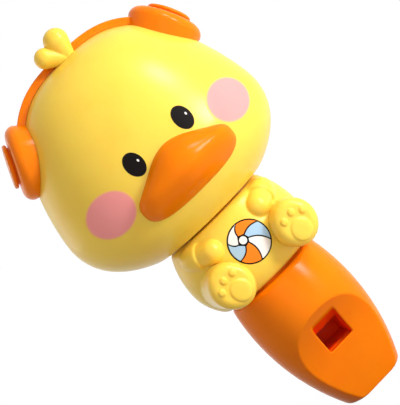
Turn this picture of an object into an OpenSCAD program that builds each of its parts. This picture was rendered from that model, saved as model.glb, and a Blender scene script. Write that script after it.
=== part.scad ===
// Duckling whistle: a pealess toy whistle with a sitting duckling on its top.
// The mouth end stands on z = 0, the barrel's axis is Z and the face looks along -Y.

/* [Whistle] */
// Length of the whistle barrel
barrel_len = 31.5; // [30:0.1:35]
// Largest radius of the barrel
barrel_r = 12.2; // [11.5:0.1:13.5]
// Height of the largest radius above the mouth end
barrel_belly_z = 21; // [20:0.5:24]
// Radius of the curve of the barrel's side
barrel_side_r = 47; // [45:1:60]
// Wall of the barrel round the hollow sides
barrel_wall = 2.2; // [2:0.1:2.6]
// Rounding of the edge of the mouth end
mouth_round = 0.9; // [0.6:0.1:1.4]
// Rounding of the barrel's top shoulder
shoulder_round = 1; // [0.5:0.1:1.2]
// Distance from the axis to the mouthpiece's flat, at the mouth end
flat_depth = 5.5; // [5:0.1:6]
// Lean of the flat away from the axis, in degrees
flat_lean = 3.9; // [2:0.1:6]
// Height of the flat, up to the start of the scoop
flat_len = 8.8; // [7:0.1:10]
// Radius of the scoop above the flat
scoop_r = 19.1; // [17:0.1:21]
// How far the scoop dips below the flat where the two cross
scoop_dip = 0.05; // [0.03:0.01:0.1]

/* [Sound window] */
// Width of the window, and of the air channel behind it
window_w = 6; // [5:0.1:6.6]
// Height of the window's sill above the mouth end
window_z = 11.9; // [11:0.1:12.4]
// Height of the window
window_h = 7.1; // [6.4:0.1:7.2]
// How far the lip's edge hangs below the top of the window
lip_drop = 2.5; // [1.5:0.1:2.8]
// Wall between the flat and the windway
roof_wall = 1.3; // [1:0.1:1.5]
// Height of the windway slot
windway_h = 1.1; // [0.8:0.1:1.3]
// How far the windway block rises above the sill
block_rise = 0.2; // [0.1:0.1:1]
// Distance from the axis to the back of the air channel
channel_back = 3.8; // [3.2:0.1:4]
// Height of the air channel above the mouth end
channel_len = 28.6; // [26:0.1:28.6]
// Height at which the hollow sides of the barrel start
hollow_z = 9; // [8:0.1:12]
// Wall between the air channel and the hollow sides
channel_wall = 1.5; // [1.2:0.1:2]
// Thickness of the lid that closes the barrel
cap_t = 1.2; // [1:0.1:1.4]
// Width of the barrel's rim round the lid
cap_rim = 1.6; // [1.5:0.1:2]
// Radius of the lid's raised middle, which carries the body
cap_boss_r = 8.4; // [8:0.1:8.6]

/* [Body] */
// Gap between the barrel and the body
seam_gap = 0.5; // [0.3:0.1:0.8]
// Height of the body
body_h = 16.9; // [16:0.1:19]
// Half the width of the body at its widest
body_r = 14.8; // [14:0.1:15.5]
// Depth of the body, front to back, at its widest
body_depth = 24.4; // [23:0.1:26]
// Height of the widest place above the body's bottom
body_belly = 7.2; // [6:0.1:8]
// Half the width of the body at the neck
body_top_r = 12.1; // [11.6:0.1:12.8]
// Half the width of the body at the whistle
body_bottom_r = 11.9; // [11:0.1:12.4]
// Rounding of the body's top and bottom edges
body_round = 1.2; // [0.6:0.1:1.5]
// Wall of the body
body_wall = 2.2; // [2:0.1:2.6]
// Side of the square stems that the body halves hold
stem_w = 7.6; // [7:0.1:8]
// Thickness of the flanges on the stems
flange_t = 1.4; // [1.2:0.1:1.6]
// How far the flanges reach past the stems
flange_out = 1.5; // [1.2:0.1:2]

/* [Arms] */
// Distance from the middle to the shoulder
shoulder_x = 8.8; // [8.4:0.1:9.4]
// Depth of the shoulder below the neck
shoulder_drop = 3.4; // [3.4:0.1:4.2]
// Radius of the shoulder
shoulder_r = 3; // [2.8:0.1:3.1]
// Distance from the parting plane to the shoulder
shoulder_y = 7.3; // [6.6:0.1:7.6]
// Distance from the middle to the paw
paw_x = 6.5; // [5.5:0.1:7]
// Depth of the paw below the neck
paw_drop = 3.4; // [3.2:0.1:4.2]
// How far the paw's middle lies behind the front of the belly
paw_back = 2.6; // [2:0.1:3]
// Radius of the paw
paw_r = 2.6; // [2.3:0.1:2.7]
// Radius of the forearm
forearm_r = 2.5; // [2:0.1:2.55]

/* [Feet] */
// Distance from the middle to the centre of a foot
foot_x = 9.2; // [8.6:0.1:9.6]
// Height of the centre of a foot above the body's bottom
foot_rise = 5.4; // [5.2:0.1:5.7]
// Distance from the axis to the sole
sole_y = 15.6; // [15:0.1:17]
// Radius of the sole
sole_r = 4.8; // [4.3:0.1:4.9]
// Rounding of the sole's edge
sole_round = 1.8; // [1:0.1:2.2]
// How much thicker the leg gets from the sole to the hip
leg_swell = 0.3; // [0.1:0.05:0.4]
// Outward turn of the foot, in degrees
foot_turn = 12; // [0:1:15]
// Radius of the main pad
pad_r = 2.1; // [1.8:0.05:2.2]
// Depth of the main pad below the middle of the sole
pad_drop = 1.6; // [1.4:0.1:1.8]
// Radius of a toe pad
toe_r = 0.9; // [0.6:0.05:0.95]
// Distance from the middle of the main pad to a toe pad
toe_reach = 3.5; // [3.4:0.1:3.9]
// Angle between two toe pads, in degrees
toe_spread = 38; // [34:1:42]
// Height of the pads above the sole
pad_h = 0.35; // [0.2:0.05:0.5]

/* [Head] */
// Gap between the body and the head
neck_gap = 0.5; // [0.4:0.05:0.8]
// Width of the head
head_w = 52.4; // [51:0.1:55]
// Depth of the head, front to back
head_depth = 40; // [38:0.1:43]
// Height of the widest place above the head's bottom
head_low = 14.2; // [14:0.1:15]
// Height of the crown above the widest place
head_high = 29.4; // [28:0.1:31]
// Height at which the curve under the head would close, below the widest place
chin_reach = 16.7; // [16.2:0.1:18]
// Rounding of the head's bottom edge
chin_round = 0.8; // [0.4:0.1:1]
// Wall of the head
head_wall = 2; // [1.8:0.1:2.4]
// Radius of the round part of the neck post
neck_r = 5; // [4.5:0.1:5.2]
// How far the neck post's flange reaches past its round part
neck_flange = 2.2; // [1.8:0.1:2.6]

/* [Bill] */
// Width of the bill
bill_w = 24.3; // [22:0.1:26]
// Height of the bill's widest place above the head's bottom
bill_rise = 10.7; // [9.6:0.1:11.4]
// Height of the bill's two wings above its widest place
bill_wing = 3.7; // [3.2:0.1:4]
// Height of the bill's peak above its wings
bill_peak = 3.9; // [3.2:0.1:4.2]
// Height of the bill's foremost place above its widest one
bill_ridge = 1.5; // [0.8:0.1:2]
// Depth of the bill below its widest place
bill_down = 4.4; // [3.6:0.1:5]
// How far the bill stands out from the face
bill_out = 5.6; // [4:0.1:7]
// Distance from the middle to a peg of the bill
bill_peg_x = 5; // [4:0.1:6]

/* [Headphones] */
// Width of the headband, front to back
band_w = 4.4; // [3.6:0.1:5]
// Thickness of the headband
band_t = 1.5; // [1.2:0.1:1.8]
// Radius of an ear cup
cup_r = 7.9; // [7:0.1:8.2]
// Height of an ear cup's centre above the head's bottom
cup_rise = 34; // [33:0.1:35]
// How far an ear cup stands out from the head's side
cup_out = 2.8; // [2.2:0.1:3.4]
// Rounding of an ear cup's outer edge
cup_round = 1.8; // [1:0.1:2]
// Upward tilt of an ear cup, in degrees
cup_tilt = 26; // [22:1:30]
// How deep the headband runs into an ear cup
band_sink = 4.5; // [3:0.1:5]
// Radius of an ear cap
cap_r = 4.65; // [4:0.05:5]
// Thickness of an ear cap
ear_cap_t = 0.9; // [0.7:0.05:1.1]
// Groove between an ear cup and its cap
cap_groove = 0.35; // [0.25:0.05:0.5]

/* [Tuft] */
// Radius of the larger lobe
lobe_r = 2.45; // [2.2:0.05:2.6]
// Length of the larger lobe
lobe_len = 7.3; // [6.8:0.1:7.6]
// Lean of the larger lobe to the left, in degrees
lobe_lean = 4; // [0:1:8]
// Radius of the smaller lobe
small_lobe_r = 2.05; // [1.8:0.05:2.2]
// Length of the smaller lobe
small_lobe_len = 6.8; // [6.4:0.1:7.2]
// Lean of the smaller lobe to the right, in degrees
small_lobe_lean = 42; // [38:1:46]
// Radius of a lobe's foot
lobe_foot_r = 1.5; // [1.45:0.05:1.7]
// Distance between the feet of the two lobes
lobe_apart = 0.6; // [0.4:0.1:1]
// Depth of a lobe's foot in the crown
lobe_sink = 0.5; // [0.4:0.1:0.8]
// Distance from the middle to the foot of the tuft
tuft_x = 0.4; // [0:0.1:0.8]
// Distance from the headband's edge to the middle of the tuft
tuft_front = 2.7; // [2.65:0.05:3]

/* [Fits] */
// Clearance of a peg, stem or lid in its seat
fit = 0.1; // [0.05:0.01:0.15]
// Running clearance of the head on the neck post
neck_fit = 0.08; // [0.04:0.01:0.1]
// Clearance of a piece that lies on a curved shell
seat = 0.08; // [0.06:0.01:0.15]
// Radius of a peg
peg_r = 1.4; // [1.2:0.05:1.6]
// Length of a peg past the wall it goes through
peg_len = 1.2; // [0.8:0.1:1.6]
// Height of the body's dowels above its bottom
body_dowel_rise = 10.4; // [10:0.1:11]
// Height of the head's upper dowels above its lower ones
head_dowel_rise = 18; // [16:0.5:19]
// Radius of a dowel between two shell halves
dowel_r = 1; // [0.8:0.05:1.1]
// Depth of a dowel in the other half
dowel_len = 2.5; // [2:0.1:3]
// Wall round a dowel's hole
dowel_wall = 1.1; // [0.9:0.1:1.3]

/* [Hidden] */
$fn = 72;
orange = [1, 0.5, 0.06];
yellow = [1, 0.86, 0.33];
far = 200;
// Small overlap of pieces that are joined or cut
eps = 0.2;
// Overlength of a cut, and of a peg inside the piece it belongs to
over = 1;
side_steps = 28;

// Powers of the head's outline: how it rises to the crown, how round it is there and under the chin
crown_rise_power = 1.4;
crown_round_power = 3;
chin_power = 2.25;
// Powers of the bill's outline above and below its widest place
bill_wing_power = 2.4;
bill_base_power = 2.6;
// Powers of the bill's bulge: how flat its middle is and how steep its edge
bill_flat_power = 1.9;
bill_edge_power = 0.6;
// Share of the bill's width over which the peak rises
bill_peak_share = 0.9;

body_z0 = barrel_len + seam_gap;
body_dowel_z = body_z0 + body_dowel_rise;
body_z1 = body_z0 + body_h;
belly_z = body_z0 + body_belly;
head_z0 = body_z1 + neck_gap;
head_mid_z = head_z0 + head_low;
head_top_z = head_mid_z + head_high;
foot_z = body_z0 + foot_rise;
shoulder_z = body_z1 - shoulder_drop;
paw_z = body_z1 - paw_drop;
bill_z = head_z0 + bill_rise;
cup_z = head_z0 + cup_rise;
window_top = window_z + window_h;
lip_z = window_top - lip_drop;
block_top = window_z + block_rise;
flange_w = stem_w + 2 * flange_out;

// Outlines and forms

// How far a rounded edge of radius rho pulls in at the distance d from its end
function edge_drop(d, rho) = d < rho ? rho - sqrt(max(0, rho * rho - pow(rho - d, 2))) : 0;

// Closed outline for turning, from z0 to z1, whose radius is side(z)
function turned(z0, z1, side) = concat(
    [[0, z0]],
    [
        for (i = [0 : side_steps])
        let (z = z0 + (z1 - z0) * (1 - cos(180 * i / side_steps)) / 2)
        [side(z), z]
    ],
    [[0, z1]]
);

// Points of an arc about c, from angle a0 to a1
function arc(c, r, a0, a1, steps = 6) = [
    for (i = [0 : steps])
    let (a = a0 + (a1 - a0) * i / steps)
    c + r * [cos(a), sin(a)]
];

// Radius of the barrel's side curve at height z, set in by inset
function barrel_side(z, inset = 0) =
    barrel_r - barrel_side_r + sqrt(pow(barrel_side_r, 2) - pow(z - barrel_belly_z, 2)) - inset;

// Place of the mouthpiece's flat at height z
function flat_y(z) = -flat_depth - z * tan(flat_lean);

// Front wall of the air channel at height z
function roof_y(z) = flat_y(z) + roof_wall;

// Centre of the scoop, whose arc runs on from the flat
scoop_c = [
    flat_y(flat_len) - (scoop_r - scoop_dip) * cos(flat_lean),
    flat_len - (scoop_r - scoop_dip) * sin(flat_lean)
];

// Place of the scoop's surface at height z
function scoop_y(z) = scoop_c[0] + sqrt(pow(scoop_r, 2) - pow(z - scoop_c[1], 2));

// Half the body's width at height z, for a form that is set in by inset
function body_side(z, inset = 0) =
    let (up = (body_h - body_belly) / sqrt(1 - pow(body_top_r / body_r, 2)))
    let (down = body_belly / sqrt(1 - pow(body_bottom_r / body_r, 2)))
    let (reach = z > belly_z ? up : down)
    (body_r - inset) * sqrt(1 - pow((z - belly_z) / (reach - inset), 2));

// Half the head's width at height z, for a form that is set in by inset
function head_side(z, inset = 0) =
    let (up = max(0, z - head_mid_z) / (head_high - inset))
    let (down = max(0, head_mid_z - z) / (chin_reach - inset))
    let (crown = pow(1 - pow(min(1, up), crown_rise_power), 1 / crown_round_power))
    let (share = z > head_mid_z ? crown : sqrt(1 - pow(down, chin_power)))
    (head_w / 2 - inset) * share;

// Place of the face's surface at x and z
function face_y(x, z) =
    let (half = head_side(z))
    -half * head_depth / head_w * sqrt(max(0, 1 - pow(x / half, 2)));

// Extrude an outline of the y-z plane along x, by width w about the middle
module across(w) {
    rotate([90, 0, 90])
        linear_extrude(w, center = true)
            children();
}

// Everything in front of the shells' parting plane, or behind it
module half_space(front) {
    translate([-far / 2, front ? -far : 0, -far / 2])
        cube([far, far, 2 * far]);
}

module square_bar(w, z0, z1) {
    translate([-w / 2, -w / 2, z0])
        cube([w, w, z1 - z0]);
}

module disc(r, z0, z1) {
    translate([0, 0, z0])
        cylinder(r = r, h = z1 - z0);
}

// Rod of radius r along y, from y0 to y1
module rod(x, z, r, y0, y1) {
    translate([x, y1, z])
        rotate([90, 0, 0])
            cylinder(r = r, h = y1 - y0);
}

// Body's outer form, or its hollow when it is set in by the wall
module body_form(inset, z0, z1, edge) {
    function side(z) = body_side(z, inset) - edge_drop(z - z0, edge) - edge_drop(z1 - z, edge);
    scale([1, (body_depth / 2 - inset) / (body_r - inset), 1])
        rotate_extrude()
            polygon(turned(z0, z1, function(z) side(z)));
}

// Head's outer form, or its hollow when it is set in by the wall
module head_form(inset, z0, edge) {
    function side(z) = max(eps, head_side(z, inset)) - edge_drop(z - z0, edge);
    scale([1, (head_depth / 2 - inset) / (head_w / 2 - inset), 1])
        rotate_extrude()
            polygon(turned(z0, head_top_z - inset, function(z) side(z)));
}

// Whistle

module scoop() {
    across(2 * far)
        union() {
            polygon([
                [flat_y(-eps), -eps],
                [flat_y(flat_len), flat_len],
                [-far, flat_len],
                [-far, -eps]
            ]);
            translate(scoop_c)
                circle(r = scoop_r, $fn = 180);
        }
}

module air_channel() {
    across(window_w)
        polygon([
            [roof_y(-eps), -eps],
            [roof_y(channel_len), channel_len],
            [channel_back, channel_len],
            [channel_back, -eps]
        ]);
}

// The sill is level, and the top of the window ramps down to the lip
module window() {
    ramp = (window_top - lip_z) / (roof_y(lip_z) - scoop_y(window_top));
    across(window_w)
        polygon([
            [-far, window_z],
            [roof_y(window_z) + eps, window_z],
            [roof_y(lip_z) + eps, lip_z - eps * ramp],
            [scoop_y(window_top), window_top],
            [-far, window_top]
        ]);
}

module hollow_sides() {
    inner_x = window_w / 2 + channel_wall;
    front_y = flat_y(0) + barrel_wall - channel_wall;
    z1 = barrel_len - cap_t + eps;
    for (side = [-1, 1])
        intersection() {
            rotate_extrude()
                polygon(turned(hollow_z, z1, function(z) barrel_side(z, barrel_wall)));
            translate([side > 0 ? inner_x : -inner_x - far, front_y, 0])
                cube([far, far, far]);
        }
}

cap_seat_r = barrel_side(barrel_len) - cap_rim;

module whistle_barrel() {
    function side(z) =
        barrel_side(z) - edge_drop(z, mouth_round) - edge_drop(barrel_len - z, shoulder_round);
    color(orange)
        difference() {
            rotate_extrude()
                polygon(turned(0, barrel_len, function(z) side(z)));
            scoop();
            air_channel();
            window();
            hollow_sides();
            disc(cap_seat_r, barrel_len - cap_t, far);
        }
}

// The block fills the channel's lower end and leaves the windway in front
module windway_block() {
    front = roof_wall + windway_h;
    color(orange)
        across(window_w - 2 * fit)
            polygon([
                [flat_y(0) + front, 0],
                [flat_y(block_top) + front, block_top],
                [channel_back - fit, block_top],
                [channel_back - fit, 0]
            ]);
}

module whistle_cap() {
    flange_z = body_z0 + body_wall + fit;
    color(orange)
        union() {
            disc(cap_seat_r - fit, barrel_len - cap_t, barrel_len);
            disc(cap_boss_r, barrel_len - eps, body_z0);
            square_bar(stem_w, body_z0 - eps, flange_z + eps);
            square_bar(flange_w, flange_z, flange_z + flange_t);
        }
}

// Body

dowel_x = body_side(body_dowel_z) - body_wall - dowel_r - dowel_wall / 2;

// Arm on the left: a ball at the shoulder, a forearm and a ball for the paw
module arm() {
    paw = [paw_x, paw_back - body_depth / 2, paw_z];
    shoulder = [shoulder_x, -shoulder_y, shoulder_z];
    reach = paw - shoulder;
    translate(shoulder)
        sphere(r = shoulder_r);
    translate(shoulder)
        rotate([0, acos(reach[2] / norm(reach)), atan2(reach[1], reach[0])])
            cylinder(r = forearm_r, h = norm(reach));
    translate(paw)
        sphere(r = paw_r);
}

module body_hollow() {
    body_form(body_wall, body_z0 + body_wall, body_z1 - body_wall, 0);
}

module body_dowel_posts() {
    intersection() {
        body_form(body_wall / 2, body_z0 + body_wall, body_z1 - body_wall, 0);
        for (side = [-1, 1])
            rod(side * dowel_x, body_dowel_z, dowel_r + dowel_wall, -far / 2, far / 2);
    }
}

module stem_holes() {
    square_bar(stem_w + 2 * fit, body_z0 - over, body_z1 + over);
}

// Place of the body's surface behind the middle of a foot
hip_y = -body_side(foot_z) * body_depth / (2 * body_r) * sqrt(1 - pow(foot_x / body_side(foot_z), 2));

module foot_peg_holes() {
    for (side = [-1, 1])
        rod(side * foot_x, foot_z, peg_r + fit, -far, hip_y + body_wall + peg_len + fit);
}

module body_front_shell() {
    color(yellow)
        difference() {
            intersection() {
                union() {
                    difference() {
                        union() {
                            body_form(0, body_z0, body_z1, body_round);
                            arm();
                            mirror([1, 0, 0])
                                arm();
                        }
                        body_hollow();
                    }
                    body_dowel_posts();
                }
                half_space(true);
            }
            stem_holes();
            foot_peg_holes();
            for (side = [-1, 1])
                rod(side * dowel_x, body_dowel_z, dowel_r + fit, -dowel_len - fit, eps);
        }
}

module body_rear_shell() {
    color(yellow)
        union() {
            difference() {
                intersection() {
                    union() {
                        difference() {
                            body_form(0, body_z0, body_z1, body_round);
                            body_hollow();
                        }
                        body_dowel_posts();
                    }
                    half_space(false);
                }
                stem_holes();
            }
            for (side = [-1, 1])
                rod(side * dowel_x, body_dowel_z, dowel_r, -dowel_len, eps);
        }
}

// The leg lies in its own frame: it is turned about z and the sole looks along +z
module leg() {
    side = concat(
        [[0, -sole_y], [sole_r + leg_swell, -sole_y]],
        arc([sole_r - sole_round, -sole_round], sole_round, 0, 90),
        [[0, 0]]
    );
    rotate_extrude()
        polygon(side);
}

module pads() {
    intersection() {
        translate([0, -pad_drop, 0]) {
            pad(0, 0, pad_r);
            for (a = [-toe_spread : toe_spread : toe_spread])
                pad(toe_reach * sin(a), toe_reach * cos(a), toe_r);
        }
        disc(sole_r, -eps, far);
    }
}

// Frame of the left foot's sole
module at_sole() {
    translate([foot_x, -sole_y, foot_z])
        rotate([90, 0, 0])
            rotate([0, 0, -foot_turn])
                children();
}

// Pad of radius r, a low cap of a ball
module pad(x, y, r) {
    ball = (r * r + pad_h * pad_h) / (2 * pad_h);
    translate([x, y, pad_h - ball])
        sphere(r = ball);
}

module left_foot() {
    color(yellow)
        union() {
            difference() {
                at_sole()
                    leg();
                body_form(-seat, body_z0, body_z1, 0);
            }
            at_sole()
                pads();
            rod(foot_x, foot_z, peg_r, hip_y - over, hip_y + body_wall + peg_len);
        }
}

module right_foot() {
    mirror([1, 0, 0])
        left_foot();
}

// Neck

module neck_post() {
    flange_z = body_z1 - body_wall - fit;
    collar_top = head_z0 - neck_fit;
    floor_top = head_z0 + head_wall + neck_fit;
    color(orange)
        union() {
            square_bar(flange_w, flange_z - flange_t, flange_z);
            square_bar(stem_w, flange_z - eps, body_z1 + eps);
            disc(neck_r + neck_flange, body_z1, collar_top);
            disc(neck_r, body_z1, floor_top + eps);
            disc(neck_r + neck_flange, floor_top, floor_top + flange_t);
        }
}

// Head

head_dowels = [
    for (side = [-1, 1], row = [0, 1])
    let (z = head_mid_z + row * head_dowel_rise)
    [side * (head_side(z) - head_wall - dowel_r - (1 + row) * dowel_wall), z]
];

module head_hollow() {
    head_form(head_wall, head_z0 + head_wall, 0);
}

module head_dowel_posts() {
    intersection() {
        head_form(head_wall / 2, head_z0 + head_wall, 0);
        for (p = head_dowels)
            rod(p[0], p[1], dowel_r + dowel_wall, -far / 2, far / 2);
    }
}

// Frame of an ear cup: z along its axis, with its outer face at z = 0
module at_ear(side) {
    mirror([side > 0 ? 0 : 1, 0, 0])
        translate([head_side(cup_z), 0, cup_z])
            rotate([0, 90 - cup_tilt, 0])
                translate([0, 0, cup_out])
                    children();
}

module ear_peg(side, gap) {
    at_ear(side)
        disc(peg_r + gap, -cup_out - head_wall - peg_len - gap, -cup_out);
}

module tuft_peg(gap) {
    translate([tuft_x, tuft_y, 0])
        disc(peg_r + gap, tuft_z - head_wall - peg_len - gap, head_top_z);
}

module bill_pegs(gap) {
    for (side = [-1, 1]) {
        y = face_y(bill_peg_x, bill_z);
        rod(side * bill_peg_x, bill_z, peg_r + gap, y - over, y + head_wall + peg_len + gap);
    }
}

module neck_hole() {
    disc(neck_r + neck_fit, head_z0 - over, head_z0 + head_wall + over);
}

module head_half(front) {
    difference() {
        intersection() {
            union() {
                difference() {
                    head_form(0, head_z0, chin_round);
                    head_hollow();
                }
                head_dowel_posts();
            }
            half_space(front);
        }
        neck_hole();
        ear_peg(1, fit);
        ear_peg(-1, fit);
    }
}

module head_front_shell() {
    color(yellow)
        difference() {
            head_half(true);
            bill_pegs(fit);
            tuft_peg(fit);
            for (p = head_dowels)
                rod(p[0], p[1], dowel_r + fit, -dowel_len - fit, eps);
        }
}

module head_rear_shell() {
    color(yellow)
        union() {
            head_half(false);
            for (p = head_dowels)
                rod(p[0], p[1], dowel_r, -dowel_len, eps);
        }
}

// Bill

bill_sectors = 48;
bill_rings = 7;

// Outline of the bill: a soft peak between two wings, over a broad, flat-bottomed lower edge
function bill_edge(a) =
    let (u = abs(cos(a)))
    let (wing = bill_wing * pow(1 - pow(u, bill_wing_power), 1 / bill_wing_power))
    let (peak = bill_peak * (1 + cos(180 * min(1, u / bill_peak_share))) / 2)
    let (lower = bill_down * pow(1 - pow(u, bill_base_power), 1 / bill_base_power))
    [bill_w / 2 * cos(a), sin(a) > 0 ? wing + peak : -lower];

// Point of the bill at the share s of the way from its ridge to its outline, lifted by up
function bill_point(s, a, up) =
    let (p = s * bill_edge(a) + [0, (1 - s) * bill_ridge])
    [p[0], face_y(p[0], bill_z + p[1]) - seat - up, bill_z + p[1]];

function bill_lift(s) = bill_out * pow(1 - pow(s, bill_flat_power), bill_edge_power);

module bill_form() {
    n = bill_sectors;
    m = bill_rings;
    function ring(s, up) = [for (j = [0 : n - 1]) bill_point(s, 360 * j / n, up)];
    // A share that is finer near the outline, where the bill turns over
    function share(i) = sin(90 * i / m);
    points = concat(
        [bill_point(0, 0, bill_out)],
        [for (i = [1 : m]) each ring(share(i), bill_lift(share(i)))],
        [for (i = [m - 1 : -1 : 1]) each ring(share(i), 0)],
        [bill_point(0, 0, 0)]
    );
    rows = 2 * m - 1;
    function at(i, j) = 1 + i * n + j % n;
    faces = concat(
        [for (j = [0 : n - 1]) [0, at(0, j + 1), at(0, j)]],
        [for (i = [0 : rows - 2], j = [0 : n - 1]) [at(i, j), at(i + 1, j + 1), at(i + 1, j)]],
        [for (i = [0 : rows - 2], j = [0 : n - 1]) [at(i, j), at(i, j + 1), at(i + 1, j + 1)]],
        [for (j = [0 : n - 1]) [at(rows - 1, j), at(rows - 1, j + 1), len(points) - 1]]
    );
    polyhedron(points, faces);
}

module bill() {
    color(orange)
        union() {
            bill_form();
            bill_pegs(0);
        }
}

// Headphones

// Outline of the headband over the head, between the ear cups
function band_line(out, low) =
    let (steps = 40)
    [
        for (i = [-steps : steps])
        let (z = low + (head_top_z - low) * sin(90 * (1 - abs(i) / steps)))
        let (r = head_side(z))
        let (dz = 0.01)
        let (slope = (head_side(z - dz) - r) / dz)
        let (n = abs(i) < 1 ? [0, 1] : [1, slope] / norm([1, slope]))
        [sign(i) * (r + out * n[0]), z + out * n[1]]
    ];

// Lowest place of the headband, inside the ear cups
band_low = cup_z + cup_r * cos(cup_tilt) - band_sink;

module band_solid(gap) {
    outer = band_line(seat + band_t + gap, band_low - gap);
    inner = band_line(seat - gap, band_low - gap);
    rotate([90, 0, 0])
        linear_extrude(band_w + 2 * gap, center = true)
            polygon(concat(outer, [for (i = [len(inner) - 1 : -1 : 0]) inner[i]]));
}

module headband() {
    color(orange)
        band_solid(0);
}

module ear_cup(side) {
    depth = cup_out + cup_r;
    rim = concat(
        [[0, -depth], [cup_r - cup_round, -depth]],
        arc([cup_r - cup_round, -cup_round], cup_round, 0, 90, 8),
        [[0, 0]]
    );
    color(orange)
        difference() {
            union() {
                difference() {
                    at_ear(side)
                        rotate_extrude()
                            polygon(rim);
                    head_form(-seat, head_z0, 0);
                    band_solid(fit);
                }
                ear_peg(side, 0);
            }
            at_ear(side)
                disc(peg_r + fit, -cup_out + fit, eps);
        }
}

module left_ear_cup() {
    ear_cup(1);
}

module right_ear_cup() {
    ear_cup(-1);
}

module ear_cap(side) {
    round = ear_cap_t / 2;
    neck = cap_r - 2 * cap_groove;
    shape = concat(
        [[0, 0], [neck, 0], [neck, cap_groove]],
        arc([cap_r - round, cap_groove + round], round, -90, 90),
        [[0, cap_groove + ear_cap_t]]
    );
    color(orange)
        at_ear(side)
            union() {
                rotate_extrude()
                    polygon(shape);
                disc(peg_r, -cup_out + 2 * fit, eps);
            }
}

module left_ear_cap() {
    ear_cap(1);
}

module right_ear_cap() {
    ear_cap(-1);
}

// Tuft

tuft_y = -band_w / 2 - tuft_front;

// Height of the crown's surface at the middle of the tuft
tuft_z =
    let (share = pow(-2 * tuft_y / head_depth, crown_round_power))
    head_mid_z + head_high * pow(1 - share, 1 / crown_rise_power);

// Lobe of the tuft: a ball that tapers to its foot on the crown, and leans from there
module lobe(x, lean, r, length) {
    ball_z = length - r;
    start = atan2(-ball_z, lobe_foot_r) + acos(r / norm([lobe_foot_r, ball_z]));
    shape = concat([[0, 0], [lobe_foot_r, 0]], arc([0, ball_z], r, start, 90, 12));
    translate([x, tuft_y, tuft_z - lobe_sink])
        rotate([0, lean, 0])
            rotate_extrude()
                polygon(shape);
}

module hair_tuft() {
    color(yellow)
        union() {
            difference() {
                union() {
                    lobe(tuft_x + lobe_apart / 2, lobe_lean, lobe_r, lobe_len);
                    lobe(tuft_x - lobe_apart / 2, -small_lobe_lean, small_lobe_r, small_lobe_len);
                }
                head_form(-seat, head_z0, 0);
            }
            tuft_peg(0);
        }
}

whistle_barrel();
windway_block();
whistle_cap();
body_front_shell();
body_rear_shell();
left_foot();
right_foot();
neck_post();
head_front_shell();
head_rear_shell();
bill();
hair_tuft();
headband();
left_ear_cup();
right_ear_cup();
left_ear_cap();
right_ear_cap();
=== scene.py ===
import math

import bpy
from mathutils import Matrix, Vector


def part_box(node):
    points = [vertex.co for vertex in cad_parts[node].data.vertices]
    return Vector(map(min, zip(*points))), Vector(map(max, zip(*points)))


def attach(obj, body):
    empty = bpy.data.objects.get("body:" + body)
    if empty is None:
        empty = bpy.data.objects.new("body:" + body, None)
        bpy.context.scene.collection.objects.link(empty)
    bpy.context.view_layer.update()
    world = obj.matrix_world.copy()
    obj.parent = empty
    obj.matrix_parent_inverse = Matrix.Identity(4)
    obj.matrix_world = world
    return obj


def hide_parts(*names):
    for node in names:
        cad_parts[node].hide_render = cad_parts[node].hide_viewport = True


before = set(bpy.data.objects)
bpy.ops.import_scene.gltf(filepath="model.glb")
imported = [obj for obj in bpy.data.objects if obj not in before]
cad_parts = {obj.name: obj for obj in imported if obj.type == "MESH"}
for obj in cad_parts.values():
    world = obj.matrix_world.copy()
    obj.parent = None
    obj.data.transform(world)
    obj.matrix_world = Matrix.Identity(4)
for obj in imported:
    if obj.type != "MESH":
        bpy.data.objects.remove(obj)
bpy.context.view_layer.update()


# Whistle barrel
# One piece of orange plastic, moulded with a scooped mouthpiece, a square sound window and an
# air channel up its middle. The edges keep the small rounding that the mould leaves.

mm = 0.001
weld = 0.002 * mm
barrel_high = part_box("whistle_barrel")[1]
barrel_len = barrel_high.z
barrel_r = barrel_high.x
barrel_belly_z = 21 * mm
barrel_side_r = 47 * mm
mouth_round = 0.6 * mm
shoulder_round = 0.8 * mm
flat_depth = 5.5 * mm
flat_lean = math.radians(3.9)
flat_len = 8.8 * mm
scoop_r = 19.1 * mm
scoop_end = math.radians(75)
scoop_steps = 24
channel_w = 6 * mm
window_w = 6.35 * mm
window_z = 11.9 * mm
window_top = 19.4 * mm
lip_z = 16.5 * mm
lip_drop = 0.1 * mm
roof_wall = 1.3 * mm
past_roof = 0.2 * mm
channel_back = 3.8 * mm
channel_len = 28.6 * mm
cap_fit = 0.1 * mm
cap_seat_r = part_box("whistle_cap")[1].x + cap_fit
cap_seat_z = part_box("whistle_cap")[0].z
far = 60 * mm
barrel_rings = 48
barrel_sides = 128
barrel_grid = 0.22 * mm
orange = (1.0, 0.232, 0.001)
orange_deep = (0.95, 0.2, 0.001)
# Painted bounce light: the red laid inside the window, and where it starts, is full and ends.
painted_bounce_red = (1.0, 0.06, 0.002)
painted_red_from = 0.1 * mm
painted_red_full = 0.6 * mm
painted_red_margin = 0.1 * mm


def edge_drop(d, rho):
    """How far an edge of radius rho pulls in at the distance d from its end."""
    return rho - math.sqrt(rho * rho - (rho - d) ** 2) if d < rho else 0


def eased(low, high, steps):
    """Heights from low to high, closer together near both ends."""
    return [low + (high - low) * (1 - math.cos(math.pi * i / steps)) / 2 for i in range(steps + 1)]


def chain(name, points):
    """Draws a chain of edges by extruding one corner after another, and leaves it in edit mode."""
    bpy.ops.object.select_all(action="DESELECT")
    bpy.ops.mesh.primitive_plane_add(size=mm)
    piece = bpy.context.object
    piece.name = name
    piece.data.name = name
    bpy.ops.object.mode_set(mode="EDIT")
    bpy.ops.mesh.select_all(action="SELECT")
    bpy.ops.mesh.merge(type="CENTER")
    bpy.ops.transform.translate(value=points[0])
    for here, there in zip(points, points[1:]):
        step = Vector(there) - Vector(here)
        bpy.ops.mesh.extrude_vertices_move(TRANSFORM_OT_translate={"value": step})
    bpy.ops.mesh.select_all(action="SELECT")
    return piece


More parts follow.
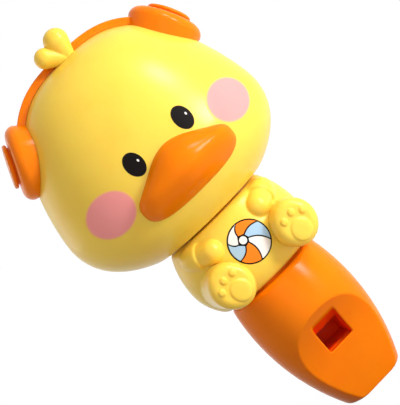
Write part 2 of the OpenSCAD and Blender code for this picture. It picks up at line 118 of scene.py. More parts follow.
def tidy_faces():
    """Merges doubles and turns all faces outwards, then leaves edit mode."""
    bpy.ops.mesh.select_all(action="SELECT")
    bpy.ops.mesh.remove_doubles(threshold=weld)
    bpy.ops.mesh.normals_make_consistent(inside=False)
    bpy.ops.object.mode_set(mode="OBJECT")


def spun(name, outline, steps=96):
    """Spins an outline of radius and height pairs about Z into a closed piece."""
    piece = chain(name, [(r, 0, z) for r, z in outline])
    bpy.ops.mesh.spin(steps=steps, angle=math.tau, center=(0, 0, 0), axis=(0, 0, 1))
    tidy_faces()
    return piece


def slab(name, corners, run):
    """Fills a closed outline and extrudes it along the run."""
    piece = chain(name, corners)
    bpy.ops.mesh.edge_face_add()
    bpy.ops.mesh.extrude_region_move(TRANSFORM_OT_translate={"value": run})
    tidy_faces()
    return piece


def cross_slab(name, outline, width):
    """A slab across the middle with an outline of y and z pairs."""
    return slab(name, [(-width / 2, y, z) for y, z in outline], (width, 0, 0))


def only(piece):
    """Makes the piece the only selected and the active one."""
    bpy.ops.object.select_all(action="DESELECT")
    piece.select_set(True)
    bpy.context.view_layer.objects.active = piece


def finish_with(piece, kind, **settings):
    """Adds a modifier with these settings and applies it."""
    only(piece)
    modifier = piece.modifiers.new(kind.lower(), kind)
    for key, value in settings.items():
        setattr(modifier, key, value)
    bpy.ops.object.modifier_apply(modifier=modifier.name)


def cut(piece, *tools):
    """Takes the tools' volumes away from the piece, and the tools out of the scene."""
    for tool in tools:
        finish_with(piece, "BOOLEAN", operation="DIFFERENCE", object=tool, solver="EXACT")
        bpy.data.objects.remove(tool)


def soften(piece, voxel, rounds):
    """Remeshes the piece evenly and smooths it, which rounds its edges as a mould does."""
    finish_with(piece, "REMESH", mode="VOXEL", voxel_size=voxel)
    finish_with(piece, "SMOOTH", factor=0.5, iterations=rounds)
    only(piece)
    bpy.ops.object.shade_smooth()


def moulded_plastic(name, colour, deep, rough, coat, coat_ior=1.5):
    """Satin moulded plastic: slightly cloudy colour, uneven gloss and a fine grain."""
    gloss_spread = 0.05
    material = bpy.data.materials.new(name)
    material.use_nodes = True
    nodes = material.node_tree.nodes
    links = material.node_tree.links
    shader = nodes["Principled BSDF"]
    shader.inputs["IOR"].default_value = 1.5
    shader.inputs["Specular IOR Level"].default_value = 0.03
    shader.inputs["Coat Weight"].default_value = coat
    shader.inputs["Coat IOR"].default_value = coat_ior
    shader.inputs["Coat Roughness"].default_value = rough - gloss_spread
    shader.inputs["Subsurface Weight"].default_value = 0.25
    shader.inputs["Subsurface Radius"].default_value = (1.0, 0.3, 0.06)
    shader.inputs["Subsurface Scale"].default_value = 2.5 * mm
    place = nodes.new("ShaderNodeTexCoord")
    cloud = nodes.new("ShaderNodeTexNoise")
    cloud.inputs["Scale"].default_value = 90
    cloud.inputs["Detail"].default_value = 3
    links.new(place.outputs["Object"], cloud.inputs["Vector"])
    tint = nodes.new("ShaderNodeValToRGB")
    tint.color_ramp.elements[0].position = 0.2
    tint.color_ramp.elements[0].color = (*deep, 1)
    tint.color_ramp.elements[1].position = 0.55
    tint.color_ramp.elements[1].color = (*colour, 1)
    links.new(cloud.outputs["Fac"], tint.inputs["Fac"])
    links.new(tint.outputs["Color"], shader.inputs["Base Color"])
    grain = nodes.new("ShaderNodeTexNoise")
    grain.inputs["Scale"].default_value = 2600
    grain.inputs["Detail"].default_value = 2
    links.new(place.outputs["Object"], grain.inputs["Vector"])
    gloss = nodes.new("ShaderNodeMapRange")
    gloss.inputs["To Min"].default_value = rough - gloss_spread
    gloss.inputs["To Max"].default_value = rough + gloss_spread
    links.new(cloud.outputs["Fac"], gloss.inputs["Value"])
    links.new(gloss.outputs["Result"], shader.inputs["Roughness"])
    bump = nodes.new("ShaderNodeBump")
    bump.inputs["Strength"].default_value = 0.06
    bump.inputs["Distance"].default_value = 0.05 * mm
    links.new(grain.outputs["Fac"], bump.inputs["Height"])
    links.new(bump.outputs["Normal"], shader.inputs["Normal"])
    return material


def dress(piece, material, body, slot, *nodes):
    """Gives a new piece its material and its body, and hides the nodes that it stands for. The slot
    is not used.
    """
    piece.data.materials.clear()
    piece.data.materials.append(material)
    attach(piece, body)
    if nodes:
        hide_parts(*nodes)


def repaint(node, material):
    """Gives a construction node that stays in view its material."""
    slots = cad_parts[node].data.materials
    slots.clear()
    slots.append(material)


def barrel_side(z):
    """Radius of the bowed barrel at a height."""
    bow = barrel_r - barrel_side_r + math.sqrt(barrel_side_r**2 - (z - barrel_belly_z) ** 2)
    return bow - edge_drop(z, mouth_round) - edge_drop(barrel_len - z, shoulder_round)


def flat_y(z):
    """Front face of the mouthpiece at a height."""
    return -flat_depth - z * math.tan(flat_lean)


scoop_y = flat_y(flat_len) - scoop_r * math.cos(flat_lean)
scoop_z = flat_len - scoop_r * math.sin(flat_lean)


def scoop_face(z):
    """Front face of the scoop at a height."""
    return scoop_y + math.sqrt(scoop_r**2 - (z - scoop_z) ** 2)


def vector_step(material, operation, source, value=(0, 0, 0)):
    """Adds one step of vector maths after the source."""
    step = material.node_tree.nodes.new("ShaderNodeVectorMath")
    step.operation = operation
    step.inputs[1].default_value = value
    material.node_tree.links.new(source, step.inputs[0])
    return step


def tint_where(material, mask, colour):
    """Lays a colour over the material's own one where the mask is 1."""
    nodes = material.node_tree.nodes
    links = material.node_tree.links
    base = nodes["Principled BSDF"].inputs["Base Color"]
    mix = nodes.new("ShaderNodeMixRGB")
    mix.inputs["Color2"].default_value = (*colour, 1)
    links.new(mask, mix.inputs["Fac"])
    links.new(base.links[0].from_socket, mix.inputs["Color1"])
    links.new(mix.outputs["Color"], base)


def paint_window_bounce(material):
    """Paints the plastic red inside the window, as painted light that comes back redder from wall to
    wall.
    """
    nodes = material.node_tree.nodes
    links = material.node_tree.links
    place = nodes.new("ShaderNodeTexCoord").outputs["Object"]
    middle = vector_step(material, "SUBTRACT", place, (0, scoop_y, scoop_z))
    side_on = vector_step(material, "MULTIPLY", middle.outputs["Vector"], (0, 1, 1))
    reach = vector_step(material, "LENGTH", side_on.outputs["Vector"])
    depth = nodes.new("ShaderNodeMapRange")
    depth.inputs["From Min"].default_value = scoop_r + painted_red_from
    depth.inputs["From Max"].default_value = scoop_r + painted_red_full
    links.new(reach.outputs["Value"], depth.inputs["Value"])
    axes = nodes.new("ShaderNodeSeparateXYZ")
    links.new(place, axes.inputs["Vector"])
    mask = depth.outputs["Result"]
    window_middle = (window_z + window_top) / 2
    for axis, centre, half in (
        ("X", 0, window_w / 2 + painted_red_margin),
        ("Y", 0, channel_back + flat_depth),
        ("Z", window_middle, window_top - window_middle + painted_red_margin),
    ):
        inside = nodes.new("ShaderNodeMath")
        inside.operation = "COMPARE"
        inside.inputs[1].default_value = centre
        inside.inputs[2].default_value = half
        both = nodes.new("ShaderNodeMath")
        both.operation = "MULTIPLY"
        links.new(axes.outputs[axis], inside.inputs[0])
        links.new(inside.outputs["Value"], both.inputs[0])
        links.new(mask, both.inputs[1])
        mask = both.outputs["Value"]
    tint_where(material, mask, painted_bounce_red)


barrel_outline = [(0, 0)]
barrel_outline += [(barrel_side(z), z) for z in eased(0, barrel_len, barrel_rings)]
barrel_outline += [(cap_seat_r, barrel_len), (cap_seat_r, cap_seat_z), (0, cap_seat_z)]
whistle_barrel = spun("whistle_barrel_moulding", barrel_outline, barrel_sides)

scoop_outline = [(flat_y(-mm), -mm)]
for i in range(scoop_steps + 1):
    angle = flat_lean + (scoop_end - flat_lean) * i / scoop_steps
    scoop_outline.append((scoop_y + scoop_r * math.cos(angle), scoop_z + scoop_r * math.sin(angle)))
scoop_outline += [(-far, scoop_outline[-1][1]), (-far, -mm)]
channel_outline = [
    (flat_y(-mm) + roof_wall, -mm),
    (flat_y(channel_len) + roof_wall, channel_len),
    (channel_back, channel_len),
    (channel_back, -mm),
]
window_outline = [
    (-far, window_z),
    (flat_y(window_z) + roof_wall + past_roof, window_z),
    (flat_y(lip_z) + roof_wall + past_roof, lip_z - lip_drop),
    (scoop_face(window_top), window_top),
    (-far, window_top),
]
cut(
    whistle_barrel,
    cross_slab("scoop_cutter", scoop_outline, far),
    cross_slab("channel_cutter", channel_outline, channel_w),
    cross_slab("window_cutter", window_outline, window_w),
)
soften(whistle_barrel, barrel_grid, rounds=1)
orange_plastic = moulded_plastic(
    "orange_moulded_plastic", orange, orange_deep, rough=0.24, coat=0.038, coat_ior=2.2
)
# The red inside the window is painted light, standing in for light that comes back redder from wall
# to wall.
paint_window_bounce(orange_plastic)
dress(whistle_barrel, orange_plastic, "whistle_body", "orange_plastic", "whistle_barrel")


# Windway block and lid
# The block is pushed into the channel from the mouth end, and the lid is glued into the top.
# Both are the same orange plastic as the barrel.

repaint("windway_block", orange_plastic)
repaint("whistle_cap", orange_plastic)


# Body shells
# The seated body is two yellow half shells, glued along the sides. The front one carries the
# short arms: each is a round stub on the belly that comes out of a slightly wider sleeve.

yellow = (1.0, 0.69, 0.085)
yellow_deep = (0.97, 0.61, 0.06)
body_low, body_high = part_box("body_rear_shell")
body_z0 = body_low.z
body_z1 = body_high.z
body_r = body_high.x
body_depth = 2 * body_high.y
body_wall = 2.2 * mm
belly_z = body_z0 + 7.2 * mm
body_top_r = 12.1 * mm
body_bottom_r = 11.9 * mm
body_round = 0.7 * mm
stem_hole_w = 7.8 * mm
sleeve = Vector((8.8, -7.3, 45.4)) * mm
sleeve_r = 3.05 * mm
sleeve_stretch = 1.6
cuff_reach = 0.85 * mm
sleeve_grid = 0.2 * mm
sleeve_blend = 24
paw = Vector((6.6, -9.6, 44.5)) * mm
paw_r = 2.6 * mm
paw_grid = 0.16 * mm
body_rings = 40
sharp_edge = math.radians(40)


def body_side(z, inset=0):
    """Half width of the body at a height, or of its hollow when it is set in."""
    end_r = body_top_r if z > belly_z else body_bottom_r
    end_z = body_z1 if z > belly_z else body_z0
    reach = abs(end_z - belly_z) / math.sqrt(1 - (end_r / body_r) ** 2)
    return (body_r - inset) * math.sqrt(1 - ((z - belly_z) / (reach - inset)) ** 2)


def squeeze(piece, share):
    """Narrows a piece from front to back."""
    only(piece)
    bpy.ops.object.mode_set(mode="EDIT")
    bpy.ops.mesh.select_all(action="SELECT")
    bpy.ops.transform.resize(value=(1, share, 1), center_override=(0, 0, 0))
    bpy.ops.object.mode_set(mode="OBJECT")


def body_form(name, inset, z0, z1, rounding):
    """The body's outer form, or its hollow when it is set in by the wall."""
    outline = [(0, z0)]
    for z in eased(z0, z1, body_rings):
        r = body_side(z, inset) - edge_drop(z - z0, rounding) - edge_drop(z1 - z, rounding)
        outline.append((r, z))
    outline.append((0, z1))
    form = spun(name, outline)
    squeeze(form, (body_depth / 2 - inset) / (body_r - inset))
    return form


def settled(name):
    """Names the primitive just added and keeps its place in its mesh."""
    bpy.ops.object.transform_apply(location=True, rotation=True, scale=True)
    bpy.context.object.name = name
    return bpy.context.object


def put(piece, matrix):
    """Moves a piece into its place and makes that its rest."""
    only(piece)
    piece.matrix_world = matrix
    bpy.ops.object.transform_apply(location=True, rotation=True, scale=True)


def shade(piece, angle=sharp_edge):
    """Shades a piece smooth and keeps the edges that are sharper than the angle."""
    only(piece)
    bpy.ops.object.shade_smooth_by_angle(angle=angle)


def ball(name, centre, radius):
    """A ball in its place."""
    bpy.ops.object.select_all(action="DESELECT")
    bpy.ops.mesh.primitive_uv_sphere_add(segments=64, ring_count=32, radius=radius, location=centre)
    return settled(name)


def bar(name, start, end, radius):
    """A round bar from start to end."""
    run = Vector(end) - Vector(start)
    bpy.ops.object.select_all(action="DESELECT")
    bpy.ops.mesh.primitive_cylinder_add(vertices=64, radius=radius, depth=run.length)
    piece = bpy.context.object
    piece.name = name
    turn = run.to_track_quat("Z", "Y").to_matrix().to_4x4()
    put(piece, Matrix.Translation((Vector(start) + Vector(end)) / 2) @ turn)
    return piece


def joined(pieces):
    """Joins the pieces into the first one."""
    only(pieces[0])
    for piece in pieces:
        piece.select_set(True)
    bpy.ops.object.join()
    return pieces[0]


def box(name, low, high):
    """A box between two corners."""
    bpy.ops.object.select_all(action="DESELECT")
    centre = (Vector(low) + Vector(high)) / 2
    bpy.ops.mesh.primitive_cube_add(size=1, location=centre, scale=Vector(high) - Vector(low))
    return settled(name)


def trim(piece, place, normal):
    """Cuts off what lies beyond a plane, and closes the cut."""
    only(piece)
    bpy.ops.object.mode_set(mode="EDIT")
    bpy.ops.mesh.select_all(action="SELECT")
    bpy.ops.mesh.bisect(plane_co=place, plane_no=normal, use_fill=True, clear_outer=True)
    bpy.ops.object.mode_set(mode="OBJECT")


def half_body(piece, side):
    """Takes the hollow and the square stem hole out of the body, and keeps its front or its back."""
    hole_low = (-stem_hole_w / 2, -stem_hole_w / 2, body_z0 - mm)
    hole_high = (stem_hole_w / 2, stem_hole_w / 2, body_z1 + mm)
    cut(
        piece,
        body_form("body_hollow", body_wall, body_z0 + body_wall, body_z1 - body_wall, 0),
        box("stem_hole", hole_low, hole_high),
    )
    trim(piece, (0, 0, 0), (0, side, 0))
    shade(piece)


sleeves = [body_form("body_front_moulding", 0, body_z0, body_z1, body_round)]
stubs = []
for side in (-1, 1):
    mirror = Vector((side, 1, 1))
    sleeve_piece = ball("sleeve", (0, 0, 0), sleeve_r)
    reach = ((paw - sleeve) * mirror).normalized()
    turn = reach.to_track_quat("Z", "Y").to_matrix().to_4x4()
    stretch = Matrix.Diagonal((1, 1, sleeve_stretch, 1))
    put(sleeve_piece, Matrix.Translation(sleeve * mirror) @ turn @ stretch)
    trim(sleeve_piece, sleeve * mirror + reach * cuff_reach, reach)
    sleeves.append(sleeve_piece)
    stubs.append(bar("forearm", sleeve * mirror, paw * mirror, paw_r))
    stubs.append(ball("paw", paw * mirror, paw_r))
body_front = joined(sleeves)
soften(body_front, sleeve_grid, sleeve_blend)
body_front = joined([body_front] + stubs)
soften(body_front, paw_grid, rounds=1)
half_body(body_front, 1)
body_rear = body_form("body_rear_moulding", 0, body_z0, body_z1, body_round)
half_body(body_rear, -1)
yellow_plastic = moulded_plastic(
    "yellow_moulded_plastic", yellow, yellow_deep, rough=0.32, coat=0.52
)
dress(body_front, yellow_plastic, "whistle_body", "yellow_plastic", "body_front_shell")
dress(body_rear, yellow_plastic, "whistle_body", "yellow_plastic", "body_rear_shell")


# Feet
# Each leg is a short yellow stub with a rounded sole, plugged into the body's front.
# A main pad and three toe pads stand out a little from the sole.

foot_x = 9.05 * mm
foot_z = body_z0 + 5.4 * mm
sole_y = 15.6 * mm
sole_r = 4.65 * mm
sole_stretch = 1.09
sole_round = 1.8 * mm
leg_swell = 0.3 * mm
pad_r = 2.2 * mm
pad_drop = 1.6 * mm
toe_r = 0.7 * mm
toe_reach = 3.65 * mm
toe_spread = math.radians(38)
pad_h = 0.42 * mm
pad_side_power = 0.6
pad_top_power = 0.8
pad_steps = 8
pad_sides = 32
leg_seat = 0.08 * mm
foot_grid = 0.13 * mm
left_turn = math.radians(10)
right_turn = math.radians(19)


def arc(x, z, r, start, end, steps):
    """Points of an arc about x and z."""
    angles = [math.radians(start + (end - start) * i / steps) for i in range(steps + 1)]
    return [(x + r * math.cos(a), z + r * math.sin(a)) for a in angles]


def pad(x, y, r):
    """A low round pad on the sole."""
    outline = [(0, -mm), (r, -mm)]
    for i in range(pad_steps + 1):
        a = math.pi / 2 * i / pad_steps
        outline.append((r * math.cos(a) ** pad_side_power, pad_h * math.sin(a) ** pad_top_power))
    piece = spun("pad", outline, pad_sides)
    put(piece, Matrix.Translation((x, y, 0)))
    return piece


for side, node, foot_turn in ((1, "left_foot", left_turn), (-1, "right_foot", right_turn)):
    leg = [(0, -sole_y), (sole_r + leg_swell, -sole_y)]
    leg += arc(sole_r - sole_round, -sole_round, sole_round, 0, 90, steps=10)
    leg.append((0, 0))
    foot_pieces = [spun(node + "_moulding", leg), pad(0, -pad_drop, pad_r)]
    for toe in (-1, 0, 1):
        a = toe * toe_spread
        foot_pieces.append(pad(toe_reach * math.sin(a), toe_reach * math.cos(a) - pad_drop, toe_r))
    foot = joined(foot_pieces)
    turn = Matrix.Rotation(math.pi / 2, 4, "X") @ Matrix.Rotation(-side * foot_turn, 4, "Z")
    turn = turn @ Matrix.Diagonal((1, sole_stretch, 1, 1))
    put(foot, Matrix.Translation((side * foot_x, -sole_y, foot_z)) @ turn)
    soften(foot, foot_grid, rounds=2)
    cut(foot, body_form("body_seat", -leg_seat, body_z0, body_z1, 0))
    dress(foot, yellow_plastic, "whistle_body", "yellow_plastic", node)


# Neck post
# An orange plastic spool. Its square part is held between the body halves, and the head turns
# on its round part, between a collar below the head's floor and a rim above it.

repaint("neck_post", orange_plastic)


# Head shells
# The big head is two yellow half shells, glued along a line over the ears. Its floor has
# a round hole for the neck post, and a fine parting line runs up the sides.

head_low, head_high_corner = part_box("head_rear_shell")
head_z0 = head_low.z
head_top = head_high_corner.z
head_half_w = head_high_corner.x
head_ratio = head_high_corner.y / head_half_w
head_mid_z = head_z0 + 14.2 * mm
chin_reach = 16.7 * mm
chin_round = 0.5 * mm
chin_power = 2.25
crown_rise_power = 1.4
crown_round_power = 3
head_wall = 2 * mm
neck_hole_r = 5.08 * mm
parting_round = 0.12 * mm
head_rings = 96
head_sides = 128
half_head_sides = 96
hollow_rings = 32
bevel_from = math.radians(50)


def head_side(z, inset=0):
    """Half width of the head at a height, or of its hollow when it is set in."""
    if z > head_mid_z:
        up = min(1, (z - head_mid_z) / (head_top - head_mid_z - inset))
        share = (1 - up**crown_rise_power) ** (1 / crown_round_power)
    else:
        share = math.sqrt(1 - ((head_mid_z - z) / (chin_reach - inset)) ** chin_power)
    return (head_half_w - inset) * share


def head_form(name, out):
    """The head's outer form as one closed piece, grown by a small distance."""
    outline = [(0, head_z0)]
    for z in eased(head_z0, head_top + out, head_rings):
        outline.append((head_side(z, -out), z))
    form = spun(name, outline, head_sides)
    squeeze(form, (head_half_w * head_ratio + out) / (head_half_w + out))
    return form


def clean(piece):
    """Opens a piece in edit mode and tidies its faces."""
    only(piece)
    bpy.ops.object.mode_set(mode="EDIT")
    tidy_faces()


def bevel(piece, width, segments):
    """Rounds the sharp edges of a piece."""
    finish_with(
        piece,
        "BEVEL",
        width=width,
        segments=segments,
        limit_method="ANGLE",
        angle_limit=bevel_from,
    )


def head_half(name, side):
    """One half of the hollow head: side is -1 for the face and 1 for the back."""
    floor_z = head_z0 + head_wall
    outline = [(neck_hole_r / head_ratio, head_z0)]
    for z in eased(head_z0, head_top, head_rings):
        outline.append((head_side(z) - edge_drop(z - head_z0, chin_round), z))
    for z in reversed(eased(floor_z, head_top - head_wall, hollow_rings)):
        outline.append((head_side(z, head_wall), z))
    outline.append((neck_hole_r / head_ratio, floor_z))
    piece = chain(name, [(r, 0, z) for r, z in outline])
    bpy.ops.mesh.edge_face_add()
    bpy.ops.mesh.spin(steps=half_head_sides, angle=math.pi, center=(0, 0, 0), axis=(0, 0, 1))
    tidy_faces()
    middle = sum(v.co.y for v in piece.data.vertices)
    squeeze(piece, head_ratio if middle * side > 0 else -head_ratio)
    clean(piece)
    bevel(piece, parting_round, segments=2)
    shade(piece)
    return piece


head_front = head_half("head_front_moulding", -1)
head_rear = head_half("head_rear_moulding", 1)
dress(head_front, yellow_plastic, "head", "yellow_plastic", "head_front_shell")
dress(head_rear, yellow_plastic, "head", "yellow_plastic", "head_rear_shell")


# Eyes and cheeks
# Pad-printed ink on the face: two black upright ovals, each with a small white glint, and two
# soft pink cheeks. The ink is a thin layer that follows the shell.

eye_x = 6.6 * mm
eye_z = 68.3 * mm
eye_w = 3.95 * mm
eye_h = 5.3 * mm
glint_w = 0.4 * mm
glint_h = 0.6 * mm
glint_out = 1.05 * mm
glint_rise = 0.1 * mm
cheek_x = 16.4 * mm
cheek_z = 64.3 * mm
cheek_w = 10.4 * mm
cheek_h = 9.3 * mm
cheek_fade = 0.9
ink_t = 0.03 * mm
ink_rings = 12
ring_reach = 0.9
print_start_y = -30 * mm


def ink(name, colour, deep, rough):
    """Printed ink: nearly even colour with slight clouds."""
    material = moulded_plastic(name, colour, deep, rough, coat=0.05)
    shader = material.node_tree.nodes["Principled BSDF"]
    shader.inputs["Subsurface Weight"].default_value = 0
    return material


def faded(material, x, z, width, height, outside):
    """Lets an ink fade into the shell's colour at the rim of its oval, on both sides of the face."""
    nodes = material.node_tree.nodes
    place = nodes.new("ShaderNodeTexCoord").outputs["Object"]
    either = vector_step(material, "ABSOLUTE", place)
    middle = vector_step(material, "SUBTRACT", either.outputs["Vector"], (x, 0, z))
    share = vector_step(material, "MULTIPLY", middle.outputs["Vector"], (2 / width, 0, 2 / height))
    reach = vector_step(material, "LENGTH", share.outputs["Vector"])
    fade = nodes.new("ShaderNodeMapRange")
    fade.inputs["From Min"].default_value = cheek_fade
    material.node_tree.links.new(reach.outputs["Value"], fade.inputs["Value"])
    tint_where(material, fade.outputs["Result"], outside)


def rings(count):
    """Insets the selected face again and again, which gives it rings that can bend."""
    bpy.ops.mesh.select_all(action="SELECT")
    for i in range(count):
        bpy.ops.mesh.inset(thickness=ring_reach / count, use_even_offset=False)


def laid(piece, shell, layer):
    """Lays a flat print onto a shell, as the given layer of ink, and gives it its thickness."""
    finish_with(
        piece,
        "SHRINKWRAP",
        target=shell,
        wrap_method="PROJECT",
        use_project_y=True,
        use_positive_direction=True,
        use_negative_direction=False,
        offset=(0.5 + layer) * ink_t,
        wrap_mode="ABOVE_SURFACE",
    )
    finish_with(piece, "SOLIDIFY", thickness=ink_t, offset=0)
    clean(piece)
    shade(piece)


def oval(name, x, z, width, height, shell, layer):
    """An oval of ink on a shell."""
    bpy.ops.object.select_all(action="DESELECT")
    bpy.ops.mesh.primitive_circle_add(
        vertices=64, radius=1, fill_type="NGON", rotation=(math.pi / 2, 0, 0)
    )
    piece = settled(name)
    bpy.ops.object.mode_set(mode="EDIT")
    rings(ink_rings)
    bpy.ops.object.mode_set(mode="OBJECT")
    place = Matrix.Translation((x, print_start_y, z))
    put(piece, place @ Matrix.Diagonal((width / 2, 1, height / 2, 1)))
    laid(piece, shell, layer)
    return piece


black_ink = ink("black_ink", (0.009, 0.007, 0.007), (0.007, 0.006, 0.006), rough=0.5)
white_ink = ink("white_ink", (0.9, 0.9, 0.9), (0.86, 0.86, 0.86), rough=0.4)
pink_ink = ink("pink_ink", (1.0, 0.37, 0.37), (0.97, 0.34, 0.34), rough=0.42)
faded(pink_ink, cheek_x, cheek_z, cheek_w, cheek_h, yellow)
for side, name in ((1, "left"), (-1, "right")):
    eye = oval(name + "_eye", side * eye_x, eye_z, eye_w, eye_h, head_front, 0)
    dress(eye, black_ink, "head", "black_ink")
    glint_x = side * eye_x + glint_out
    glint = oval(name + "_glint", glint_x, eye_z + glint_rise, glint_w, glint_h, head_front, 1)
    dress(glint, white_ink, "head", "white_ink")
    cheek = oval(name + "_cheek", side * cheek_x, cheek_z, cheek_w, cheek_h, head_front, 0)
    dress(cheek, pink_ink, "head", "pink_ink")


# Belly print
# A striped beach ball, pad-printed on the belly between arms and feet: coloured panels and a
# white hub on a dark disc, which shows between them as lines.

print_z = 40.9 * mm
print_r = 4.6 * mm
print_line = 0.3 * mm
hub = (-0.8 * mm, 1.1 * mm)
hub_r = 0.8 * mm
panel_bow = 0.9 * mm
panel_count = 6
panel_start = 0.35
seam_steps = 10
rim_steps = 10
panel_cuts = 3
blue_ink = ink("blue_ink", (0.4, 0.62, 0.86), (0.36, 0.58, 0.83), rough=0.42)
orange_ink = ink("orange_ink", (1.0, 0.25, 0.02), (0.95, 0.21, 0.015), rough=0.42)


def seam_line(angle, offset):
    """Bowed line from the hub to the rim of the ball, moved sideways by an offset."""
    rim = Vector((math.cos(angle), math.sin(angle))) * print_r
    run = rim - Vector(hub)
    across = Vector((-run.y, run.x)).normalized()
    start = (hub_r + print_line) / run.length
    end = 1 - print_line / run.length
    line = []
    for i in range(seam_steps + 1):
        t = start + (end - start) * i / seam_steps
        line.append(Vector(hub) + run * t + across * (offset + panel_bow * 4 * t * (1 - t)))
    return line


def panel(name, first, last, shell, layer):
    """One coloured panel of the ball between two seam lines."""
    edge = [first + (last - first) * i / rim_steps for i in range(1, rim_steps)]
    rim = [Vector((math.cos(a), math.sin(a))) * (print_r - print_line) for a in edge]
    outline = seam_line(first, print_line / 2) + rim + seam_line(last, -print_line / 2)[::-1]
    piece = chain(name, [(x, print_start_y, print_z + z) for x, z in outline])
    bpy.ops.mesh.edge_face_add()
    bpy.ops.mesh.quads_convert_to_tris(ngon_method="BEAUTY")
    bpy.ops.mesh.subdivide(number_cuts=panel_cuts)
    bpy.ops.object.mode_set(mode="OBJECT")
    laid(piece, shell, layer)
    return piece


print_base = oval("belly_print_base", 0, print_z, 2 * print_r, 2 * print_r, body_front, 0)
dress(print_base, black_ink, "whistle_body", "black_ink")
panel_inks = ((orange_ink, "orange_ink"), (white_ink, "white_ink"), (blue_ink, "blue_ink"))
for i in range(panel_count):
    first = math.tau * i / panel_count + panel_start
    piece = panel("belly_panel_%d" % (i + 1), first, first + math.tau / panel_count, body_front, 1)
    panel_ink, panel_slot = panel_inks[i % len(panel_inks)]
    dress(piece, panel_ink, "whistle_body", panel_slot)
hub_piece = oval("belly_print_hub", hub[0], print_z + hub[1], 2 * hub_r, 2 * hub_r, body_front, 1)
dress(hub_piece, white_ink, "whistle_body", "white_ink")


# Bill
# An orange moulding with a soft peak between two lower wings. It is plugged into the face and
# has a soft ridge across, below which it leans back to the chin.

bill_w = 24.3 * mm
bill_z = head_z0 + 10.7 * mm
bill_wing = 4.15 * mm
bill_peak = 2.95 * mm
bill_down = 4.45 * mm
bill_ridge = 1.2 * mm
bill_out = 3.3 * mm
dome_out = 2.2 * mm
dome_w = 6.5 * mm
ridge_soft = 1.6 * mm
lean_up = 0.36
lean_down = 0.8
ends_out = 0.55
bill_peak_share = 0.9
bill_wing_power = 2.4
bill_base_power = 3.1
bill_edge_power = 5
bill_seat = 0.05 * mm
bill_sharp_edge = math.radians(60)


def face_y(x, z):
    """Front of the face at a place across and a height."""
    half = head_side(z)
    return -half * head_ratio * math.sqrt(max(0, 1 - (x / half) ** 2))


def bill_edge(a):
    """Outline of the bill at an angle about its middle."""
    u = abs(math.cos(a))
    wing = bill_wing * (1 - u**bill_wing_power) ** (1 / bill_wing_power)
    peak = bill_peak * (1 + math.cos(math.pi * min(1, u / bill_peak_share))) / 2
    lower = bill_down * (1 - u**bill_base_power) ** (1 / bill_base_power)
    return bill_w / 2 * math.cos(a), wing + peak if math.sin(a) > 0 else -lower


bpy.ops.object.select_all(action="DESELECT")
bpy.ops.mesh.primitive_uv_sphere_add(
    segments=128, ring_count=64, radius=1, rotation=(math.pi / 2, 0, 0)
)
bill = settled("bill_moulding")
for vertex in bill.data.vertices:
    x, y, z = vertex.co
    share = min(1, math.hypot(x, z))
    edge_x, edge_z = bill_edge(math.atan2(z, x))
    px = share * edge_x
    pz = bill_z + share * edge_z + (1 - share) * bill_ridge
    rise = pz - bill_z - bill_ridge
    lean = lean_up if rise > 0 else lean_down
    lift = bill_out + dome_out * math.exp(-((px / dome_w) ** 2))
    lift += ends_out * (face_y(px, bill_z) - face_y(0, bill_z))
    lift -= lean * (math.hypot(rise, ridge_soft) - ridge_soft)
    lift *= math.sqrt(1 - share**bill_edge_power)
    vertex.co = (px, face_y(px, pz) - bill_seat - (lift if y < 0 else 0), pz)
clean(bill)
shade(bill, bill_sharp_edge)
dress(bill, orange_plastic, "head", "orange_plastic", "bill")


# Hair tuft
# Two yellow lobes that grow from one foot, like an uneven heart. A peg under the foot holds
# them in a hole in the crown.

tuft_x = 1 * mm
tuft_y = -3.9 * mm
tuft_z = 92.35 * mm
tuft_seat = 0.03 * mm
tuft_grid = 0.1 * mm
tuft_blend = 12
lobe_foot_r = 1.35 * mm
lobe_steps = 24
lobe_sides = 48
# Lean, radius and length of each lobe
lobes = (
    (math.radians(4.8), 2.65 * mm, 7.1 * mm),
    (math.radians(-48), 2.2 * mm, 7.3 * mm),
)
tuft_pieces = []
for lean, lobe_r, lobe_len in lobes:
    ball_z = lobe_len - lobe_r
    start = math.atan2(-ball_z, lobe_foot_r) + math.acos(lobe_r / math.hypot(lobe_foot_r, ball_z))
    outline = [(0, 0), (lobe_foot_r, 0)]
    outline += arc(0, ball_z, lobe_r, math.degrees(start), 90, lobe_steps)
    lobe = spun("hair_tuft_moulding", outline, lobe_sides)
    place = Matrix.Translation((tuft_x, tuft_y, tuft_z))
    put(lobe, place @ Matrix.Rotation(lean, 4, "Y"))
    tuft_pieces.append(lobe)
hair_tuft = joined(tuft_pieces)
soften(hair_tuft, tuft_grid, tuft_blend)
cut(hair_tuft, head_form("crown_seat", tuft_seat))
dress(hair_tuft, yellow_plastic, "head", "yellow_plastic", "hair_tuft")


# Headband
# A bent orange strip that lies over the head from ear cup to ear cup, with its ends inside
# the cups and softly rounded edges.

band_w = 4.4 * mm
band_t = 1.5 * mm
band_seat = 0.06 * mm
band_low = 86 * mm
band_round = 0.6 * mm
band_steps = 48
slope_step = 0.01 * mm


def band_line(out):
    """Outline over the head at a distance from it, from the right side to the left."""
    points = []
    for i in range(-band_steps, band_steps + 1):
        z = band_low + (head_top - band_low) * math.sin(math.pi / 2 * (1 - abs(i) / band_steps))
        r = head_side(z)
        slope = (head_side(z - slope_step) - r) / slope_step
        nx, nz = (0, 1) if i == 0 else (1 / math.hypot(1, slope), slope / math.hypot(1, slope))
        points.append((math.copysign(1, i) * (r + out * nx), -band_w / 2, z + out * nz))
    return points


headband = slab(
    "headband_moulding",
    band_line(band_seat + band_t) + band_line(-band_t)[::-1],
    (0, band_w, 0),
)
bevel(headband, band_round, segments=3)
cut(headband, head_form("band_seat_form", band_seat))
shade(headband)
headphone_plastic = moulded_plastic("headphone_plastic", orange, orange_deep, rough=0.26, coat=0.2)
dress(headband, headphone_plastic, "head", "orange_plastic", "headband")


# Ear cups and caps
# Each ear has a thick orange cushion that follows the head's side, and a thinner disc on it,
# set off by a groove all round.

